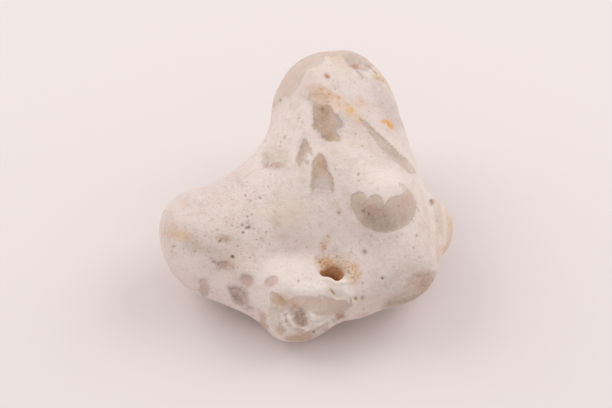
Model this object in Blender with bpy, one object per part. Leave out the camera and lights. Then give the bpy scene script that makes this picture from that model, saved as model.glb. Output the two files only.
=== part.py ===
"""A flint nodule: one knobbly stone with a bored hole and a small flat spot to rest on.

Run it with blender --background --python part.py, or from Blender's text editor.
Metres, +Z up. The origin is in the flat spot that the stone rests on. +Y points from the low
prow in front to the tall crown at the back, and +X to the side with the button.
"""

from typing import NamedTuple

import bmesh
import bpy
import numpy as np
from mathutils import Matrix, Vector

MM = 0.001


class Lobe(NamedTuple):
    """A ball that is swept from start to end, and how far it blends into the rest, in millimetres."""

    start: tuple
    end: tuple
    start_radius: float
    end_radius: float
    blend: float


HUB = Lobe((1, -6.5, 10), (3, 2.5, 15.5), 10, 14.5, 0)
LOBES = {
    "crown": Lobe((4.8, 6.5, 20.5), (5.2, 21.6, 28), 17.5, 16.1, 12),
    "left_shoulder": Lobe((-8, -4.5, 15.5), (-26.6, -9.3, 16.5), 13.8, 12.4, 14),
    "keel": Lobe((-22.5, -15.5, 12), (-8, -25, 10.3), 7.8, 7.7, 8),
    "shelf": Lobe((-7, -24, 12.5), (9, -23, 12), 6.5, 7, 5.5),
    "prow": Lobe((-3.3, -24.5, 10.5), (-3.9, -27.4, 7.4), 7, 6.6, 6),
    "chin": Lobe((0, -22.5, 9.5), (7, -20.5, 9.5), 7, 6, 6),
    "right_base": Lobe((11, -11.5, 13.5), (20, -16.5, 14.7), 10, 11, 7),
    "right_flank": Lobe((11, 8, 20), (20, -4, 16), 13, 10.8, 8),
    "right_ear": Lobe((22, -4.5, 15), (27.6, -5.1, 13.5), 9, 8, 3),
    "button_root": Lobe((13, -0.5, 22), (15, -6.5, 24.5), 8, 7, 9),
    "heel": Lobe((4, 11.5, 12), (8, 21.5, 11), 10, 7.5, 7),
    "foot": Lobe((1, -0.5, 8), (2, 3.5, 8), 8, 8, 8),
}

# Swept balls that are chipped out of the lobes.
SCARS = {
    "crest": Lobe((10.5, 2, 48.6), (26.5, -5.5, 40.5), 11.6, 11.6, 0.7),
    "brow": Lobe((-6, -38, 20.4), (7, -36.8, 19.6), 8.7, 8.7, 1),
    "back": Lobe((-5.7, 50, 21.4), (-7, 48.5, 18), 18, 18, 1.5),
    "left_back": Lobe((-35.9, 19, 7.1), (-33, 20.5, 8), 20, 20, 1.5),
    "right_back": Lobe((30.9, 2.6, -1.5), (29, 6.5, -1), 12, 12, 1.5),
}

# Lobes that stand out crisply, so they come after the chips.
KNOBS = {
    "button": Lobe((15, -5, 22.5), (16.2, -8, 26.3), 8, 8, 1.2),
}

# Low waves in all directions, which keep the lobes from looking like balls.
SWELL_SEED = 11
SWELL_COUNT = 14
SHORTEST_SWELL = 8 * MM
LONGEST_SWELL = 24 * MM
SWELL_STEEPNESS = 0.006

HOLE_MOUTH = (4.5, -24, 20)  # millimetres
HOLE_RADIUS = 2.75 * MM
HOLE_END_RADIUS = 1.7 * MM
HOLE_DEPTH = 12 * MM
HOLE_FLATNESS = 0.72
HOLE_LEAN = 0.12
HOLE_SIDES = 20
CUTTER_OVERSHOOT = 8 * MM

GROUND_WIDTH = 120 * MM
GROUND_DEPTH = 20 * MM

ROUGH_VOXEL = 0.8 * MM
BALLS_PER_LOBE = 6
RELAX_ROUNDS = 6
NEWTON_STEPS = 3
GRADIENT_STEP = 0.05 * MM
THINNING = 0.2

CORTEX_COLOUR = (0.72, 0.62, 0.55, 1)
CORTEX_ROUGHNESS = 0.75


def smooth_minimum(first, second, blend):
    """The lower of two distances, with the crease where they meet filled over the blend's width."""
    closeness = np.maximum(blend - np.abs(first - second), 0)
    return np.minimum(first, second) - closeness**2 / (4 * blend)


def smooth_maximum(first, second, blend):
    return -smooth_minimum(-first, -second, blend)


def distance_to_lobe(points, lobe):
    start = np.array(lobe.start) * MM
    axis = np.array(lobe.end) * MM - start
    along = np.clip((points - start) @ axis / (axis @ axis), 0, 1)
    radius = (lobe.start_radius + along * (lobe.end_radius - lobe.start_radius)) * MM
    return np.linalg.norm(points - start - along[:, None] * axis, axis=1) - radius


def swells(points):
    random = np.random.default_rng(SWELL_SEED)
    directions = random.normal(size=(SWELL_COUNT, 3))
    directions /= np.linalg.norm(directions, axis=1)[:, None]
    lengths = random.uniform(SHORTEST_SWELL, LONGEST_SWELL, SWELL_COUNT)
    phases = random.uniform(0, 2 * np.pi, SWELL_COUNT)
    waves = np.sin(points @ (directions * 2 * np.pi / lengths[:, None]).T + phases)
    return waves @ lengths * SWELL_STEEPNESS


def distance_to_stone(points):
    distance = distance_to_lobe(points, HUB)
    for lobe in LOBES.values():
        distance = smooth_minimum(distance, distance_to_lobe(points, lobe), lobe.blend * MM)
    for scar in SCARS.values():
        distance = smooth_maximum(distance, -distance_to_lobe(points, scar), scar.blend * MM)
    for knob in KNOBS.values():
        distance = smooth_minimum(distance, distance_to_lobe(points, knob), knob.blend * MM)
    return distance + swells(points)


def gradient(points):
    steps = np.eye(3) * GRADIENT_STEP
    slopes = [distance_to_stone(points + s) - distance_to_stone(points - s) for s in steps]
    return np.stack(slopes, axis=1) / (2 * GRADIENT_STEP)


def pulled_onto_stone(points):
    for _ in range(NEWTON_STEPS):
        slope = gradient(points)
        steepness = np.maximum((slope**2).sum(axis=1), 0.1)
        points = points - (distance_to_stone(points) / steepness)[:, None] * slope
    return points


def new_object(name, shape):
    mesh = bpy.data.meshes.new(name)
    shape.to_mesh(mesh)
    shape.free()
    made = bpy.data.objects.new(name, mesh)
    bpy.context.collection.objects.link(made)
    return made


def rough_shape():
    """Overlapping balls along every lobe, melted into one skin by a voxel remesh."""
    shape = bmesh.new()
    for lobe in (HUB, *LOBES.values(), *KNOBS.values()):
        for share in np.linspace(0, 1, BALLS_PER_LOBE):
            centre = Vector(lobe.start).lerp(Vector(lobe.end), share) * MM
            radius = (lobe.start_radius + share * (lobe.end_radius - lobe.start_radius)) * MM
            place = Matrix.Translation(centre)
            bmesh.ops.create_icosphere(shape, subdivisions=4, radius=radius, matrix=place)
    balls = new_object("balls", shape)
    melt = balls.modifiers.new("melt", "REMESH")
    melt.mode = "VOXEL"
    melt.voxel_size = ROUGH_VOXEL
    seen = balls.evaluated_get(bpy.context.evaluated_depsgraph_get())
    shape = bmesh.new()
    shape.from_mesh(seen.to_mesh())
    bpy.data.objects.remove(balls)
    return shape


def settle(shape):
    """Evens out the mesh while keeping its points on the stone's surface."""
    every_way = {"use_axis_x": True, "use_axis_y": True, "use_axis_z": True}
    for _ in range(RELAX_ROUNDS):
        bmesh.ops.smooth_vert(shape, verts=shape.verts, factor=0.5, **every_way)
        points = pulled_onto_stone(np.array([v.co for v in shape.verts]))
        for vertex, point in zip(shape.verts, points):
            vertex.co = point


def hole_cutter():
    shape = bmesh.new()
    depth = HOLE_DEPTH + CUTTER_OVERSHOOT
    widening = (HOLE_RADIUS - HOLE_END_RADIUS) * CUTTER_OVERSHOOT / HOLE_DEPTH
    bmesh.ops.create_cone(
        shape,
        cap_ends=True,
        segments=HOLE_SIDES,
        radius1=HOLE_END_RADIUS,
        radius2=HOLE_RADIUS + widening,
        depth=depth,
        matrix=Matrix.Translation((0, 0, CUTTER_OVERSHOOT - depth / 2)),
    )
    lean = Matrix.Shear("XY", 4, (HOLE_LEAN, -HOLE_LEAN))
    oval = Matrix.Diagonal((1, HOLE_FLATNESS, 1, 1))
    place = Matrix.Translation(Vector(HOLE_MOUTH) * MM) @ lean @ oval
    bmesh.ops.transform(shape, matrix=place, verts=shape.verts)
    return new_object("hole_cutter", shape)


def ground_cutter():
    shape = bmesh.new()
    size = Matrix.Diagonal((GROUND_WIDTH, GROUND_WIDTH, GROUND_DEPTH, 1))
    place = Matrix.Translation((0, 0, -GROUND_DEPTH / 2)) @ size
    bmesh.ops.create_cube(shape, size=1, matrix=place)
    return new_object("ground_cutter", shape)


def cut(stone, cutter):
    cutter.hide_render = True
    cutter.display_type = "WIRE"
    boolean = stone.modifiers.new(cutter.name, "BOOLEAN")
    boolean.operation = "DIFFERENCE"
    boolean.solver = "EXACT"
    boolean.object = cutter


def cortex():
    material = bpy.data.materials.new("chalky_cortex")
    material.use_nodes = True
    shader = material.node_tree.nodes["Principled BSDF"]
    shader.inputs["Base Color"].default_value = CORTEX_COLOUR
    shader.inputs["Roughness"].default_value = CORTEX_ROUGHNESS
    return material


def main():
    for old in list(bpy.data.objects):
        bpy.data.objects.remove(old)
    shape = rough_shape()
    settle(shape)
    stone = new_object("flint_nodule", shape)
    stone.data.shade_smooth()
    stone.data.materials.append(cortex())
    thin = stone.modifiers.new("thin", "DECIMATE")
    thin.ratio = THINNING
    cut(stone, hole_cutter())
    cut(stone, ground_cutter())


main()
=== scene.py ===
"""A flint nodule with its chalky skin, its bare flint windows, its pits and its rust, on a studio floor.

Laid out as a Blender add-on and run as a script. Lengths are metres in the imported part's frame
unless a name or a comment says otherwise, with +Z up and the origin in the flat spot that the stone
rests on. Marks on the side that faces the studio camera are placed in pixels of its 612 x 408
frame, and marks on the other sides in millimetres of the part's frame.
"""

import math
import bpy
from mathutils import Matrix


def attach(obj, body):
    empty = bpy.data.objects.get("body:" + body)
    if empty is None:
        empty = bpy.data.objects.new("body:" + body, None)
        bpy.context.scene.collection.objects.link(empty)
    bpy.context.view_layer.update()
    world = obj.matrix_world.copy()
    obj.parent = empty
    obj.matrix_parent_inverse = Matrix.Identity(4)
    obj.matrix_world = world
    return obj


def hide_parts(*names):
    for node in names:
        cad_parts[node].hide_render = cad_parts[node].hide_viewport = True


bl_info = {
    "name": "Flint Nodule",
    "version": (1, 0, 0),
    "blender": (4, 5, 0),
    "location": "3D View > Sidebar > Nodule",
    "description": "Carves and finishes a flint nodule over its packed solid, and sets its stage",
    "category": "Object",
}

from typing import NamedTuple

import bmesh
import bpy
import numpy as np
from mathutils import Vector, noise
from mathutils.bvhtree import BVHTree

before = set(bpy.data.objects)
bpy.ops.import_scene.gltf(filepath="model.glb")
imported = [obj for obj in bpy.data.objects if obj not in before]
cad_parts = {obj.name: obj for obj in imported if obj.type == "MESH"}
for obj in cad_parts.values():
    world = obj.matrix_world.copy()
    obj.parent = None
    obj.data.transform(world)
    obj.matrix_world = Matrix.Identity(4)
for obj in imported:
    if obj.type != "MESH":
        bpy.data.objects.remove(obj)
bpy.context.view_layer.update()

MM = 0.001
SOLID = "flint_nodule"

# The studio camera.
FRAME_WIDTH, FRAME_HEIGHT = 612, 408
LENS = 100
SENSOR = 36
CAMERA_DISTANCE = 430 * MM
CAMERA_ELEVATION = math.radians(50)
CAMERA_AIM = np.array((-2, -0.5, 18)) * MM
PIXEL = 0.25  # millimetres of the stone to a pixel


class Patch(NamedTuple):
    """A closed outline in pixels, with its corners rounded off."""

    outline: tuple


class Spot(NamedTuple):
    """An ellipse in pixels, turned clockwise by degrees."""

    x: float
    y: float
    wide: float
    high: float
    turn: float = 0


class Streak(NamedTuple):
    """A line in pixels with a half width at each end."""

    line: tuple
    start: float
    end: float


class Nudge(NamedTuple):
    """Moves what is within reach of a place in the picture across and up, all in pixels."""

    x: float
    y: float
    reach: float
    across: float
    up: float


class Window(NamedTuple):
    """Bare flint: where, how much shows, how far it's sunk and how soft its edge is, in millimetres."""

    mark: tuple
    showing: float = 1
    sunk: float = 0.14
    soft: float = 0.1


# Where the skin has gone and the flint shows.
BUTTON_FACE = Patch((
    (350.8, 196), (354.5, 193), (360, 191.7), (364.6, 192.8), (365.4, 199), (366.2, 202.5), (368, 198.6),
    (371, 195.3), (376, 194.2), (380.5, 196), (383.2, 200.5), (384, 207), (386.4, 202), (391, 197.5),
    (396, 196), (402.5, 195), (403.5, 191), (402, 187.5), (398, 184.5), (399, 182.5), (404, 184.5),
    (409, 189), (413.5, 196), (416.8, 206), (414.5, 216),
    (408.6, 224), (401, 229), (392.6, 232), (383, 233.2), (374, 231.4), (365, 227), (359, 221),
    (354, 213), (350.8, 204),
))
CREST_BAND = Patch((
    (358, 117.5), (364, 120.5), (370, 125), (376, 131), (385, 140), (395, 149), (405, 158), (411, 164),
    (416, 172), (411, 174), (405, 169.5), (399, 164.5), (392, 159.5), (386, 153), (380, 147), (375, 141.5),
    (370, 135), (365, 127), (360, 121),
))
WINDOWS = {
    "crown": Window(Patch((
        (270, 114), (275, 107), (281, 101), (286, 96.5), (292, 92.5), (298, 88.5), (300, 82), (303, 75),
        (309, 68), (318, 66.5), (322, 64), (323, 58), (330, 55.5), (345, 55), (345, 40), (300, 44),
        (266, 80),
    )), 0.5, 0.1, 0.3),
    "crown_top": Window(Patch((
        (341, 54.5), (345, 60), (347.5, 65.5), (356, 68.5), (367, 70), (374, 66), (376, 46),
        (345, 36), (338, 48),
    )), 0.6, 0.08, 0.3),
    "brow": Window(Patch((
        (313, 103), (318, 99.5), (326, 103), (331, 105.5), (334, 112), (340, 117.5), (343.5, 124),
        (342, 128), (338, 129), (336, 133), (341.5, 136.5), (340.5, 141.5), (334, 140.5), (330, 142.5),
        (325, 140.5), (321, 137), (323, 133), (318, 130.5), (312.5, 129.5), (313.5, 120), (312.5, 110),
    )), 0.95, 0.1, 0.16),
    "brow_top": Window(Patch(((308, 94), (322, 93), (330, 102), (326, 108), (311, 106))), 0.35, 0.06, 0.7),
    "leaf": Window(Patch((
        (304.5, 137.5), (308, 143), (311, 148), (313, 155), (312, 157), (309, 153.5), (306.5, 152.5),
        (307.2, 157), (306, 161), (303.5, 161), (301.5, 165), (299, 167), (296.5, 163.5), (295.3, 159.5),
        (296.5, 155), (299.5, 150), (301, 145), (302, 141),
    )), 0.85, 0.12, 0.16),
    "leaf_tail": Window(Spot(307, 162.6, 1.9, 2.5), 0.8, 0.1, 0.2),
    "fork": Window(Patch((
        (319.5, 152), (323, 155.5), (326, 160), (327.2, 165), (327.4, 169.5), (331, 174), (333.4, 179),
        (333.8, 186), (333.6, 193.5), (331.8, 195), (330, 190), (322, 191), (315.5, 189), (313.4, 193),
        (311.2, 189), (309.8, 183), (311.3, 178), (312.3, 171), (311.6, 165), (313.2, 160.5), (316, 157),
    )), 0.85, 0.09, 0.14),
    "button": Window(BUTTON_FACE, 0.7, 0.09, 0.07),
    "crest": Window(CREST_BAND, 0.58, 0.2, 0.2),
    "prow": Window(Patch((
        (270, 291), (277, 293.5), (282, 297.5), (286, 301), (291, 298.5), (300, 296.5), (312, 296.7),
        (320, 295.3), (328, 297.5), (336, 300.5), (344, 300.5), (350.5, 303), (350.5, 308.5), (345, 311.5),
        (343.5, 316), (337, 318), (331, 315.5), (324, 317), (317, 315.5), (310, 312.5), (306, 312),
        (307.5, 319), (307, 327), (300, 329), (294.5, 327), (292, 318), (289, 312),
        (283, 310), (280.5, 315), (279, 325), (278, 334), (273, 331), (269.5, 318), (269.5, 303),
    )), 0.52, 0.12, 0.3),
    "prow_tip": Window(Patch((
        (286, 338), (296, 335), (303, 331.5), (309.5, 331.5), (314, 337), (312, 346), (285, 346),
    )), 0.75, 0.1, 0.3),
    "keel_pebble": Window(Spot(271, 281.6, 7, 5, -28), 0.35, 0.08, 0.1),
    "keel_a": Window(Spot(246.8, 281, 6.4, 5.6, 20), 0.55, 0.3, 0.7),
    "keel_b": Window(Patch((
        (228, 287), (235, 288.5), (243, 292.5), (247.5, 299), (246, 304.5), (240, 305), (235, 300),
        (230.5, 294),
    )), 0.55, 0.4, 0.7),
    "keel_c": Window(Patch((
        (199.5, 281), (205, 279.5), (209.5, 284), (209.5, 291), (207.5, 297.5), (202, 297), (199.5, 289),
    )), 0.5, 0.3, 0.3),
    "keel_e": Window(
        Patch(((258.5, 311), (264, 312.5), (267.5, 319), (264, 322), (260, 318))), 0.5, 0.1, 0.4
    ),
    "keel_f": Window(Patch(((258, 321), (265, 322.5), (269, 329), (268, 336), (262, 332))), 0.7, 0.1, 0.3),
    "shoulder": Window(
        Patch(((215, 263.5), (221, 261), (228.5, 262.5), (226, 268.5), (221, 271), (217.5, 268))),
        0.7,
        0.2,
        0.5,
    ),
    "right_low": Window(Patch((
        (407, 284), (411, 276), (418, 272), (430, 271), (438, 274), (437, 287), (429, 298), (414, 306),
        (398, 311), (384, 314), (382, 307), (388, 301), (397, 298), (403, 293),
    )), 0.42, 0.06, 1.1),
    "faint": Window(Spot(275, 165.4, 4.8, 2.7), 0.35, 0.06, 0.4),
    "faint_left": Window(
        Patch(((263, 155), (266.5, 153), (268.5, 160), (267.5, 167), (263, 168))), 0.3, 0.05, 0.8
    ),
}

# Bare flint on the sides that the studio camera doesn't see: x, y, z and radius in millimetres.
FAR_WINDOWS = (
    (-12, 20, 38, 7), (-9, 30, 30, 6), (5, 37, 32, 7), (0, 37, 25, 4), (-4, 34, 17, 4),
    (-30, 4, 14, 4.5), (-38, -8, 22, 4), (-22, 9, 9, 3.4), (-14, 3, 27, 1.8), (-26, 6, 20, 1.6),
    (22, 22, 22, 4.5), (26, 17, 18, 3), (30, 8, 10, 4), (19, 32, 27, 3.4), (14, 26, 6, 3.6), (28, -14, 6, 4),
    (-20, -22, 6, 3), (6, -30, 4, 4), (-6, 14, 2, 5), (8, 30, 44, 2.8), (21, 12, 32, 2), (-4, 22, 8, 2),
)

FAR_WINDOW_DEPTH = 0.14  # millimetres
FAR_WINDOW_SOFTNESS = 0.2  # millimetres

# Pits: x, y and radius in pixels, depth in millimetres, and how dark they are inside.
PITS = (
    (327.5, 76.5, 2.4, 0.4, 0.5), (354, 65.6, 1.5, 0.2, 0.5),
    (248.6, 227.4, 2.3, 0.6, 1), (246.2, 228, 1.6, 0.4, 0.8), (243, 232.4, 2, 0.6, 1),
    (242.4, 225, 1.6, 0.4, 0.8), (254, 229, 1.3, 0.3, 0.6), (247.5, 216.4, 1.4, 0.4, 0.8),
    (247.6, 222.4, 1.1, 0.3, 0.6), (232.6, 256.6, 2.3, 0.6, 1.1), (220.2, 241.2, 2.2, 0.4, 0.7),
    (194, 252, 1.5, 0.3, 0.6), (213.8, 262, 1.8, 0.4, 0.7), (260, 197.8, 1.7, 0.4, 0.8),
    (250, 201, 1.5, 0.3, 0.6), (256.7, 205.4, 1.4, 0.3, 0.5), (250, 257.6, 1.2, 0.3, 0.5),
    (238, 246, 1.3, 0.3, 0.5), (173.7, 247, 2, 0.3, 0.4), (298.8, 281, 1.8, 0.3, 0.7),
    (355.6, 298.8, 2.3, 0.4, 0.15), (362.3, 298, 2.4, 0.3, 0.2), (366, 281.4, 1.1, 0.2, 0.4),
    (371, 276, 1, 0.2, 0.4), (368, 289, 1.1, 0.2, 0.3), (362, 283.6, 1.7, 0.3, 0.5),
    (314, 332.6, 2.3, 0.6, 0.8), (348.4, 273, 1.6, 0.4, 0.8), (345.8, 275.6, 1.2, 0.3, 0.6),
    (352, 277.8, 1.5, 0.4, 0.7), (320.4, 262.4, 1.7, 0.4, 1), (324.4, 263.4, 1.5, 0.4, 1),
    (321.4, 266, 1.3, 0.3, 0.8), (318.4, 259.6, 1.2, 0.3, 0.8), (328, 265, 1.2, 0.3, 0.7),
    (351, 274.6, 1.2, 0.3, 0.8), (354, 278, 1.2, 0.3, 0.7), (348, 270.6, 1.1, 0.2, 0.7),
    (333, 258.4, 1.5, 0.3, 0.5), (358.5, 174, 1.7, 0.4, 0.8), (358.5, 181, 1.5, 0.3, 0.6),
    (372, 183, 1.2, 0.2, 0.5), (431.2, 200.6, 2.2, 0.5, 0.8), (432, 203.4, 1.7, 0.3, 0.6),
    (417, 235.7, 1.6, 0.4, 0.7), (414, 247.5, 1.3, 0.3, 0.5), (365, 252, 2.8, 0.3, 0.35),
    (382.5, 278.4, 1.9, 0.5, 1), (433.7, 280.5, 1.8, 0.4, 0.8), (339, 213, 2, 0.3, 0.45),
    (284.5, 137.4, 2, 0.3, 0.6), (289.5, 244.3, 1.2, 0.3, 0.7), (322, 243.4, 1.2, 0.3, 0.7),
    (324.8, 242.2, 1, 0.3, 0.6), (281, 142, 1.3, 0.2, 0.4), (265, 141, 1.6, 0.2, 0.4),
    (280, 100, 1.6, 0.3, 0.8), (363, 211, 1.7, 0.2, 0.6), (369, 214, 1.5, 0.2, 0.6),
    (398.6, 206.5, 1.1, 0.2, 0.6), (299, 118, 1.4, 0.2, 0.5), (302.5, 121.5, 1.2, 0.2, 0.5),
    (322.5, 109.5, 2.3, 0.3, 0.9), (297, 240, 1.2, 0.2, 0.4),
)


class PaintColour(NamedTuple):
    red: float
    green: float
    blue: float


RUST_ORANGE = PaintColour(214, 136, 70)
RUST_BROWN = PaintColour(168, 104, 62)
PEACH = PaintColour(228, 176, 132)
STRAW = PaintColour(218, 192, 142)
PALE_STRAW = PaintColour(240, 222, 200)
OCHRE = PaintColour(206, 154, 84)
ASH = PaintColour(188, 174, 166)
VIOLET_ASH = PaintColour(186, 170, 170)
CREAM = PaintColour(246, 232, 214)
# Pale chalk for white flecks, streaks and mottles, also laid as painted light on lit slopes and the shelf.
CHALK_AND_PAINTED_LIGHT = PaintColour(244, 232, 224)
# Painted light for the lit top of the ledge.
PAINTED_LIGHT_ON_LEDGE = PaintColour(255, 243, 237)
UMBER = PaintColour(128, 92, 70)
MOSS = PaintColour(168, 152, 124)
CLAY = PaintColour(190, 140, 118)
TAN = PaintColour(204, 174, 148)
SALLOW = PaintColour(212, 194, 174)
AMBER = PaintColour(242, 160, 50)
HONEY = PaintColour(242, 204, 138)
APRICOT = PaintColour(224, 172, 132)
SMOKE = PaintColour(150, 132, 132)
LILAC = PaintColour(224, 208, 204)
BISQUE = PaintColour(234, 208, 190)
WALNUT = PaintColour(124, 86, 60)
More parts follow.
